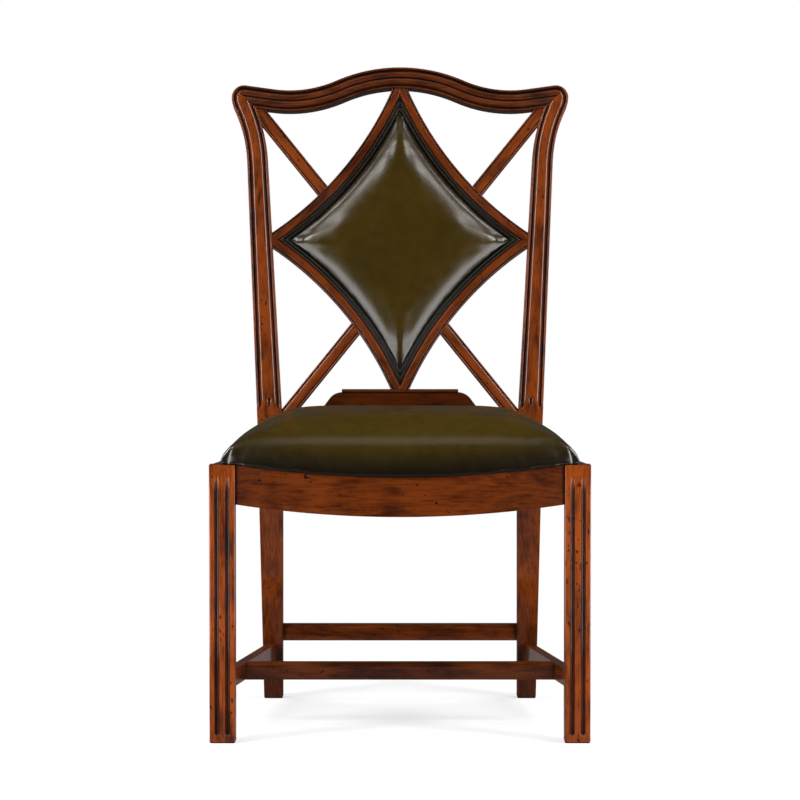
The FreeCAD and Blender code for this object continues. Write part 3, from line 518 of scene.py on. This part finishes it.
def leather(name, shade_and_dark_hide_mask, strength=1.0, shine=0.34):
    """Waxed olive hide of some strength of colour, darkened where a given mask(finish, place) is 1. A
    strength below 1 is a copy of the hide in painted shade; on the pads the mask is painted shade, on the
    back pads together with antiqued hide, and on the welts it gives their own near-black colour.
    """
    hide = bpy.context.scene.chair_leather
    finish = Finish(name)
    place = finish.place()
    patches = finish.noise(place, 9.0, 4.0, 0.6, 0.5)
    mottle = finish.noise(place, 60.0, 3.0, 0.6)
    tone = finish.ramp(patches * 0.7 + mottle * 0.4, 0.35, 0.75)
    shades = [[share * strength * level for level in hide.hide] for share in (0.72, 1.0)]
    body = finish.mix(*shades, tone)
    cells = finish.add(
        "ShaderNodeTexVoronoi", {"feature": "DISTANCE_TO_EDGE"}, {"Vector": place, "Scale": 900.0},
    )
    grain = finish.ramp(cells, 0.0, 0.25)
    wrinkles = finish.noise(place, 90.0, 3.0, 0.6)
    relief = grain * 0.1 + wrinkles * 0.3
    finish.set({
        # Darker where painted shade falls on the pads, and all over the welts
        "Base Color": finish.mix(body, hide.shade_and_dark_hide, shade_and_dark_hide_mask(finish, place)),
        "Roughness": mottle * 0.16 + (hide.gloss - 0.08),
        "Normal": finish.bump(relief, 0.12, 0.0005),
        "Specular IOR Level": shine,
    })
    return finish.material


def seat_shadow(finish, place):
    """Painted shade on the lower edge of the seat pad, where it rolls under, by height above the dished
    rail.
    """
    x, _, z = finish.split(place)
    line = x * x * (SEAT_DIP / SEAT_SPAN ** 2) + (SEAT_SIDE - SEAT_DIP)
    return 0.95 - finish.ramp(z - line, 0.002, 0.068) * 0.95


def back_inset(finish, place):
    """Distance from the outer edge of the diamond's bars, worked out from the centres of its arcs."""
    x, y, z = finish.split(place)
    up = (y - KNEE.y) * UP.y + (z - KNEE.z) * UP.z - DIAMOND_MIDDLE
    across = DIAMOND_ARC.x - abs(x)
    along = DIAMOND_ARC.y - abs(up)
    return (across * across + along * along) ** 0.5 - DIAMOND_RADIUS


def back_shadow(finish, place):
    """Darker border of the back pads, where they roll down to the welts: painted shade together with
    antiqued hide.
    """
    edge = BAR_WIDTH + WELT_WIDTH
    return 0.92 - finish.ramp(back_inset(finish, place), edge - 0.002, edge + 0.016) * 0.92


def all_rubbed(finish, place):
    """Welts are worn dark all over, with lighter patches."""
    return finish.ramp(finish.noise(place, 30.0, 2.0), 0.75, 0.35) * 0.1 + 0.9


def screw_steel():
    """Dulled zinc plate of the screws under the seat."""
    finish = Finish("zinc_screw")
    scuffs = finish.noise(finish.place(), 900.0, 3.0, 0.6)
    finish.set({
        "Base Color": finish.mix((0.36, 0.35, 0.32), (0.55, 0.54, 0.50), scuffs),
        "Metallic": 1.0,
        "Roughness": scuffs * 0.2 + 0.3,
    })
    return finish.material


def only(*pieces):
    """Selects just these objects, the first one active."""
    bpy.ops.object.select_all(action="DESELECT")
    for piece in pieces:
        piece.select_set(True)
    bpy.context.view_layer.objects.active = pieces[0]


@contextmanager
def editing(piece):
    only(piece)
    bpy.ops.object.mode_set(mode="EDIT")
    bpy.ops.mesh.select_all(action="SELECT")
    yield
    bpy.ops.object.mode_set(mode="OBJECT")


def pick(piece, kind, test):
    """Selects the verts, edges or faces of the piece in edit mode that pass a test."""
    bpy.ops.mesh.select_mode(type={"verts": "VERT", "edges": "EDGE", "faces": "FACE"}[kind])
    bpy.ops.mesh.select_all(action="DESELECT")
    mesh = bmesh.from_edit_mesh(piece.data)
    for item in getattr(mesh, kind):
        item.select = bool(test(item))
    mesh.select_flush_mode()
    bmesh.update_edit_mesh(piece.data)


def copy_of(node, name):
    """New piece with the merged mesh of a CAD node."""
    piece = bpy.data.objects.new(name, frame["nodes"][node].data.copy())
    bpy.context.scene.collection.objects.link(piece)
    only(piece)
    bpy.ops.mesh.customdata_custom_splitnormals_clear()
    with editing(piece):
        bpy.ops.mesh.remove_doubles(threshold=CAD_MERGE)
    return piece


def apply(piece, kind, **settings):
    """Adds a modifier with these settings and applies it."""
    modifier = piece.modifiers.new(kind.title(), kind)
    for key, value in settings.items():
        setattr(modifier, key, value)
    only(piece)
    bpy.ops.object.modifier_apply(modifier=modifier.name)


def joined(pieces, name):
    only(*pieces)
    bpy.ops.object.join()
    pieces[0].name = name
    return pieces[0]


def finished(piece, material):
    """Gives a piece its material and lets it ride on the chair."""
    piece.data.materials.clear()
    piece.data.materials.append(material)
    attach(piece, "root")


def eased(node, material):
    """Replaces a show-wood node with a copy whose edges are taken off."""
    wood = bpy.context.scene.chair_wood
    piece = copy_of(node, "eased_" + node)
    with editing(piece):
        bpy.ops.mesh.dissolve_limited(angle_limit=FLAT)
        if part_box(node)[0].z < ON_FLOOR:
            pick(piece, "edges", lambda edge: all(v.co.z < ON_FLOOR for v in edge.verts))
            bpy.ops.mesh.bevel(offset=wood.foot_ease, segments=3, affect="EDGES")
    apply(
        piece, "BEVEL", width=wood.ease, segments=2, limit_method="ANGLE",
        angle_limit=ARRIS, use_clamp_overlap=False, miter_outer="MITER_ARC",
    )
    with editing(piece):
        bpy.ops.mesh.dissolve_degenerate(threshold=SHORT_EDGE)
    bpy.ops.object.shade_smooth_by_angle(angle=SMOOTH)
    apply(piece, "WEIGHTED_NORMAL", keep_sharp=True)
    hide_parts(node)
    finished(piece, material)


def softened(piece, held, rounds):
    """Rounds a pad, apart from the points that are held down."""
    with editing(piece):
        pick(piece, "verts", lambda vertex: not held(vertex.co))
        bpy.ops.mesh.vertices_smooth(factor=0.5, repeat=rounds)


def puffed(piece, held, swell):
    """Blows a pad up as cloth under pressure, with the held points fixed and the others capped."""
    hide = bpy.context.scene.chair_leather
    scene = bpy.context.scene
    before = [vertex.co.copy() for vertex in piece.data.vertices]
    group = piece.vertex_groups.new(name="held")
    group.add([vertex.index for vertex in piece.data.vertices if held(vertex.co)], 1.0, "REPLACE")
    only(piece)
    cloth = piece.modifiers.new("Stuffing", "CLOTH")
    cloth.settings.use_pressure = True
    cloth.settings.uniform_pressure_force = hide.pressure
    cloth.settings.vertex_group_mass = group.name
    cloth.settings.effector_weights.gravity = 0.0
    cloth.point_cache.frame_end = hide.steps
    for step in range(1, hide.steps + 1):
        scene.frame_set(step)
    bpy.ops.object.modifier_apply(modifier=cloth.name)
    scene.frame_set(1)
    piece.vertex_groups.clear()
    for vertex, start in zip(piece.data.vertices, before):
        move = vertex.co - start
        if move.length > swell:
            vertex.co = start + move.normalized() * swell


def remeshed(piece, voxel):
    piece.data.remesh_voxel_size = voxel
    only(piece)
    bpy.ops.object.voxel_remesh()


def stuffed(piece, held, rounds, swell):
    """Turns a plain pad into a soft one, with the held points left where they are."""
    softened(piece, held, rounds)
    puffed(piece, held, swell)
    softened(piece, held, rounds // 2)


class CHAIR_OT_show_wood(bpy.types.Operator):
    """Eases the edges of every piece of show wood and lays its grain along its length"""

    bl_idname = "chair.show_wood"
    bl_label = "Show wood"

    def execute(self, context):
        for name, (along, strength, wear, nodes) in SHOW_WOOD.items():
            material = show_wood(name, along, strength, wear)
            for node in nodes:
                eased(node, material)
        return {"FINISHED"}


class CHAIR_OT_hidden_frame(bpy.types.Operator):
    """Finishes the corner blocks, seat board, pegs and back panel"""

    bl_idname = "chair.hidden_frame"
    bl_label = "Hidden frame"

    def execute(self, context):
        beech = bare_wood()
        lining = black_cloth()
        for node in BLOCKS + ("back_pegs", "diamond_panel"):
            mesh = frame["nodes"][node].data
            mesh.materials.clear()
            mesh.materials.append(lining if node == "diamond_panel" else beech)
        board = copy_of("seat_board", "seat_base")
        low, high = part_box("seat_board")
        with editing(board):
            bpy.ops.transform.resize(
                value=(BOARD_SHARE, BOARD_SHARE, 1.0), center_override=(low + high) / 2,
            )
        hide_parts("seat_board")
        finished(board, beech)
        return {"FINISHED"}


def blunted(reaches, bluntness):
    """Least of several distances, with the corner between two of them rounded off."""
    return -bluntness * math.log(sum(math.exp(-reach / bluntness) for reach in reaches))


def domed(pad):
    """Gives the seat pad one full dome that rolls over at the front and more slowly at the sides."""
    rim = [v.co for v in pad.data.vertices if v.co.z - seat_line(v.co.x) < RIM_HEIGHT]
    front, back = min(point.y for point in rim), max(point.y for point in rim)
    wide, narrow = (
        max(abs(p.x) for p in rim if abs(p.y - y) < PLAN_BAND) for y in (PLAN_FRONT, PLAN_BACK)
    )
    taper = (wide - narrow) / (PLAN_BACK - PLAN_FRONT)
    for vertex in pad.data.vertices:
        x, y, z = vertex.co
        line = seat_line(x)
        side = (wide - taper * (y - PLAN_FRONT) - abs(x)) / math.hypot(1, taper)
        nose = y - front - BOW_DEPTH * (x / BOW_HALF) ** 2
        borders = (side / ROLL_SIDE, nose / ROLL_NOSE, (back - y) / ROLL_BACK)
        inset = min(1, sum(max(0.001, reach) ** -2 for reach in borders) ** -0.5)
        roll = (1 - (1 - inset) ** ROLL_CURVE) ** ROLL_POWER
        behind = y - front - DOME_SETBACK
        fall = DOME_FRONT_FALL if behind < 0 else DOME_BACK_FALL
        dome = DOME_HEIGHT - DOME_SIDE_FALL * x * x - fall * behind * behind
        top = line + max(RIM_THICKNESS, dome * roll)
        if vertex.normal.z > 0.05 or z > top:
            vertex.co.z = max(top, line)


class CHAIR_OT_seat_pad(bpy.types.Operator):
    """Stuffs the bow-fronted seat pad and covers it in leather"""

    bl_idname = "chair.seat_pad"
    bl_label = "Seat pad"

    def execute(self, context):
        hide = context.scene.chair_leather
        layers = [copy_of(node, "pad_" + node) for node in ("seat_cover", "seat_foam", "seat_board")]
        pad = joined(layers, "seat_pad")

        def tacked(point):
            return point.z - seat_line(point.x) < TACK_HEIGHT

        remeshed(pad, hide.seat_voxel)
        domed(pad)
        with editing(pad):
            bpy.ops.mesh.remove_doubles(threshold=BORDER_MERGE)
        stuffed(pad, tacked, 6, hide.seat_swell)
        with editing(pad):
            pick(pad, "faces", lambda face: face.normal.z < -0.9)
            for _ in range(HOLLOW_RINGS):
                bpy.ops.mesh.select_less()
            bpy.ops.transform.translate(value=(0, 0, HOLLOW_DEPTH))
        apply(pad, "SUBSURF", levels=1, render_levels=1)
        bpy.ops.object.shade_smooth()
        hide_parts("seat_cover", "seat_foam")
        finished(pad, leather("seat_hide", seat_shadow))
        return {"FINISHED"}


def drawn_share(inset):
    """Share of the back pad's height that it has as drawn, at a distance in from its border."""
    share = PAD_LEVELS[0][1]
    for (start, low), (end, high) in zip(PAD_LEVELS, PAD_LEVELS[1:]):
        share += (high - low) * min(1, max(0, inset - start) / (end - start))
    return share


def crowned(pad):
    """Turns the flat slopes of the back pad into one crown that rolls over at its border."""
    edge = DIAMOND_RADIUS + BAR_WIDTH + WELT_WIDTH
    for vertex in pad.data.vertices:
        place = vertex.co - KNEE
        up = place.dot(UP) - DIAMOND_MIDDLE
        out = place.dot(OUT) - PANEL_FRONT
        insets = [
            math.hypot(DIAMOND_ARC.x + x * vertex.co.x, DIAMOND_ARC.y + y * up) - edge
            for x in (1, -1) for y in (1, -1)
        ]
        inset = max(0, blunted(insets, PAD_ROLL))
        rolled_share = 1 - PAD_ROLL_SHARE * math.exp(-inset / PAD_ROLL)
        vertex.co += OUT * (out * (rolled_share / drawn_share(min(insets)) - 1))


class CHAIR_OT_back_pads(bpy.types.Operator):
    """Stuffs the crowned pad inside the diamond and the flatter one behind it"""

    bl_idname = "chair.back_pads"
    bl_label = "Back pads"

    def execute(self, context):
        hide = context.scene.chair_leather
        # The back pads are the seat's hide painted darker, as painted shade, with painted shade along their
        # borders
        material = leather("back_hide", back_shadow, 0.75)

        def tacked_front(point):
            return (point - KNEE).dot(OUT) < PANEL_FRONT + TACK_FRONT

        def tacked_behind(point):
            return (point - KNEE).dot(OUT) > PANEL_BACK - TACK_BEHIND

        for node, name, tacked in (
            ("diamond_pad", "back_pad", tacked_front),
            ("outside_back", "outside_back_pad", tacked_behind),
        ):
            pad = copy_of(node, name)
            remeshed(pad, hide.back_voxel)
            if node == "diamond_pad":
                crowned(pad)
            stuffed(pad, tacked, 20, hide.back_swell)
            apply(pad, "SUBSURF", levels=1, render_levels=1)
            bpy.ops.object.shade_smooth()
            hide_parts(node)
            finished(pad, material)
        return {"FINISHED"}


def welt_quarter(inset, out, radius, sign):
    """Upper or lower right quarter of a cord, spun round the centre of the diamond's side."""
    ring = DIAMOND_RADIUS + inset
    tip = math.atan2(math.sqrt(ring ** 2 - DIAMOND_ARC.x ** 2), DIAMOND_ARC.x)
    side = math.atan2(DIAMOND_ARC.y, math.sqrt(ring ** 2 - DIAMOND_ARC.y ** 2))
    start = tip - CORD_OVERRUN
    turn = side + CORD_OVERRUN - start
    centre = on_back(DIAMOND_ARC.x, DIAMOND_MIDDLE + sign * DIAMOND_ARC.y, out)
    radial = Vector((-math.cos(start), 0, 0)) - UP * (sign * math.sin(start))
    bpy.ops.mesh.primitive_circle_add(vertices=CORD_SIDES, radius=radius)
    cord = bpy.context.object
    with editing(cord):
        mesh = bmesh.from_edit_mesh(cord.data)
        for vertex in mesh.verts:
            vertex.co = centre + radial * (ring + vertex.co.x) + OUT * vertex.co.y
        bmesh.update_edit_mesh(cord.data)
        bpy.ops.mesh.spin(steps=CORD_STEPS, angle=-sign * turn, center=centre, axis=OUT)
        for point, way in (
            (Vector(), Vector((1, 0, 0))),
            (on_back(0, DIAMOND_MIDDLE, 0), UP * sign),
        ):
            bpy.ops.mesh.select_all(action="SELECT")
            bpy.ops.mesh.bisect(plane_co=point, plane_no=way, clear_inner=True)
    return cord


def welt_cord(inset, out, radius):
    """Cord that follows the hollow sides of the diamond and turns sharply at its tips."""
    cord = joined([welt_quarter(inset, out, radius, sign) for sign in (1, -1)], "welt_cord")
    apply(cord, "MIRROR", merge_threshold=MITRE_MERGE)
    with editing(cord):
        bpy.ops.mesh.remove_doubles(threshold=MITRE_MERGE)
        bpy.ops.mesh.normals_make_consistent(inside=False)
    return cord


class CHAIR_OT_welts(bpy.types.Operator):
    """Lays the double welt round the back pad and round the outside back"""

    bl_idname = "chair.welts"
    bl_label = "Welts"

    def execute(self, context):
        radius = context.scene.chair_leather.cord
        material = leather("welt_hide", all_rubbed, shine=0.14)
        first = BAR_WIDTH + radius
        second = BAR_WIDTH + WELT_WIDTH - radius
        for name, node, out in (
            ("back_welt", "diamond_welt", PANEL_FRONT + 1.5 * radius),
            ("outside_back_welt", "outside_back_gimp", PANEL_BACK - radius),
        ):
            welt = joined([welt_cord(inset, out, radius) for inset in (first, second)], name)
            only(welt)
            bpy.ops.object.shade_smooth_by_angle(angle=ROUND_SMOOTH)
            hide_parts(node)
            finished(welt, material)
        return {"FINISHED"}


def screw_head():
    """Domed screw head with a cross recess, at the origin, facing up."""
    bpy.ops.mesh.primitive_cylinder_add(vertices=24, radius=HEAD_RADIUS, depth=HEAD_HEIGHT)
    head = bpy.context.object
    with editing(head):
        pick(head, "edges", lambda edge: all(v.co.z > HEAD_HEIGHT / 4 for v in edge.verts))
        bpy.ops.mesh.bevel(offset=HEAD_ROUND, segments=3, affect="EDGES")
    for across, along in ((CROSS_LENGTH, CROSS_WIDTH), (CROSS_WIDTH, CROSS_LENGTH)):
        bpy.ops.mesh.primitive_cube_add(size=1.0, location=(0, 0, HEAD_HEIGHT / 2))
        cutter = bpy.context.object
        with editing(cutter):
            bpy.ops.transform.resize(value=(across, along, CROSS_DEPTH))
        only(cutter)
        bpy.ops.object.transform_apply()
        apply(head, "BOOLEAN", object=cutter, operation="DIFFERENCE", solver="EXACT")
        bpy.data.objects.remove(cutter)
    return head


class CHAIR_OT_screws(bpy.types.Operator):
    """Sets the screws in the corner blocks under the seat"""

    bl_idname = "chair.screws"
    bl_label = "Screws"

    def execute(self, context):
        head = screw_head()
        screws = []
        for node in BLOCKS:
            low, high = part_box(node)
            inward = Vector((-(low.x + high.x), -(low.y + high.y), 0)).normalized()
            faces = frame["nodes"][node].data.polygons
            slanting = [face for face in faces if face.normal.dot(inward) > 0.75]
            under = [face for face in faces if face.normal.z < -0.95]
            for group, spread in ((slanting, PAIR_SPREAD), (under, 0.0)):
                area = sum(face.area for face in group)
                middle = sum((face.center * face.area for face in group), Vector()) / area
                normal = group[0].normal.copy()
                along = normal.cross(Vector((0, 0, 1)))
                for side in (-spread, spread) if spread else (0.0,):
                    screw = head.copy()
                    screw.data = head.data.copy()
                    context.scene.collection.objects.link(screw)
                    screw.data.transform(normal.to_track_quat("Z", "Y").to_matrix().to_4x4())
                    screw.data.transform(Matrix.Translation(middle + along * side))
                    screws.append(screw)
        bpy.data.objects.remove(head)
        piece = joined(screws, "block_screws")
        only(piece)
        bpy.ops.object.shade_smooth_by_angle(angle=SCREW_SMOOTH)
        piece.data.materials.append(screw_steel())
        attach(piece, "root")
        return {"FINISHED"}


def pale_floor(reflected):
    """Floor that stays white to the camera but keeps a soft shadow near the chair."""
    finish = Finish("pale_floor")
    reach = finish.add("ShaderNodeVectorMath", {"operation": "LENGTH"}, {0: finish.place()}, 1)
    far = finish.ramp(reach, 0.55, 1.3)
    seen = finish.seen(reflected)
    sheet = finish.mix((0.15, 0.15, 0.15), (0.1, 0.1, 0.1), finish.ramp(reach, 1.2, 2.2))
    finish.set({
        "Base Color": finish.mix(sheet, (0.95, 0.95, 0.95), seen),
        "Roughness": 0.9,
        "Specular IOR Level": 0.0,
    })
    white = finish.add("ShaderNodeEmission", None, {"Color": (1, 1, 1, 1), "Strength": 1.0})
    cover = finish.add(
        "ShaderNodeMixShader", None,
        {0: seen * (far * 0.4 + 0.6), 1: Signal(finish, finish.surface.outputs[0]), 2: white},
    )
    finish.tree.links.new(cover.socket, finish.tree.nodes["Material Output"].inputs["Surface"])
    return finish.material


def pale_world(scene, reflected):
    """White behind the chair for the camera, and a faint fill for everything else."""
    scene.world = scene.world or bpy.data.worlds.new("studio")
    sky = Shading(scene.world)
    background = sky.tree.nodes["Background"]
    background.inputs["Color"].default_value = (1, 1, 1, 1)
    sky.feed(background.inputs["Strength"], sky.seen(reflected) * 0.98 + 0.02)


class CHAIR_OT_stage(bpy.types.Operator):
    """Sets up the camera, the softboxes and the pale floor"""

    bl_idname = "chair.stage"
    bl_label = "Stage"

    def execute(self, context):
        stage = context.scene.chair_stage
        scene = context.scene
        scene.view_settings.view_transform = "Standard"
        bpy.ops.object.camera_add(
            location=(0, -stage.distance, stage.eye), rotation=(math.pi / 2 - stage.tilt, 0, 0),
        )
        camera = context.object
        camera.data.lens = stage.lens
        camera.data.sensor_width = 36.0
        scene.camera = camera
        for name, place, aim, size, power in (
            ("side_left", (-2.1, -1.7, 1.8), (0, 0, 0.7), (0.6, 2.4), stage.side_light),
            ("side_right", (2.1, -1.7, 1.8), (0, 0, 0.7), (0.6, 2.4), stage.side_light),
            ("high_left", (-1.6, 0.0, 3.0), (0, 0, 0.5), (0.6, 0.6), stage.high_light),
            ("high_right", (1.6, 0.0, 3.0), (0, 0, 0.5), (0.6, 0.6), stage.high_light),
            ("high_front", (0.0, -0.6, 3.0), (0, 0, 0.5), (1.4, 1.0), stage.front_light),
            ("low_left", (-0.85, -0.35, 0.2), (0, 0.1, 0.7), (1.0, 0.3), stage.low_light),
            ("low_right", (0.85, -0.35, 0.2), (0, 0.1, 0.7), (1.0, 0.3), stage.low_light),
            ("back_left", (-2.6, 2.0, 1.6), (0, 0, 0.6), (0.8, 2.2), stage.back_light),
            ("back_right", (2.6, 2.0, 1.6), (0, 0, 0.6), (0.8, 2.2), stage.back_light),
        ):
            bpy.ops.object.light_add(type="AREA", location=place)
            light = context.object
            light.name = name
            light.rotation_euler = (Vector(aim) - Vector(place)).to_track_quat("-Z", "Y").to_euler()
            light.data.shape = "RECTANGLE"
            light.data.size, light.data.size_y = size
            light.data.energy = power
        bpy.ops.mesh.primitive_circle_add(vertices=96, radius=9.0, fill_type="NGON")
        floor = context.object
        floor.name = "floor"
        floor.data.materials.append(pale_floor(stage.reflected))
        pale_world(scene, stage.reflected)
        return {"FINISHED"}


class CHAIR_PT_panel(bpy.types.Panel):
    """Lists the steps that dress the chair"""

    bl_idname = "CHAIR_PT_panel"
    bl_label = "Chair"
    bl_space_type = "VIEW_3D"
    bl_region_type = "UI"
    bl_category = "Chair"

    def draw(self, context):
        for step in STEPS:
            self.layout.operator(step.bl_idname)


STEPS = (
    CHAIR_OT_stage,
    CHAIR_OT_show_wood,
    CHAIR_OT_hidden_frame,
    CHAIR_OT_seat_pad,
    CHAIR_OT_back_pads,
    CHAIR_OT_welts,
    CHAIR_OT_screws,
)
SETTINGS = (
    ("chair_wood", ChairWoodSettings),
    ("chair_leather", ChairLeatherSettings),
    ("chair_stage", ChairStageSettings),
)


def register():
    for name, group in SETTINGS:
        bpy.utils.register_class(group)
        setattr(bpy.types.Scene, name, PointerProperty(type=group))
    for step in STEPS:
        bpy.utils.register_class(step)
    bpy.utils.register_class(CHAIR_PT_panel)


def unregister():
    bpy.utils.unregister_class(CHAIR_PT_panel)
    for step in reversed(STEPS):
        bpy.utils.unregister_class(step)
    for name, group in reversed(SETTINGS):
        delattr(bpy.types.Scene, name)
        bpy.utils.unregister_class(group)


def main():
    register()
    bpy.ops.chair.stage()
    bpy.ops.chair.show_wood()
    bpy.ops.chair.hidden_frame()
    bpy.ops.chair.seat_pad()
    bpy.ops.chair.back_pads()
    bpy.ops.chair.welts()
    bpy.ops.chair.screws()


if __name__ == "__main__":
    main()
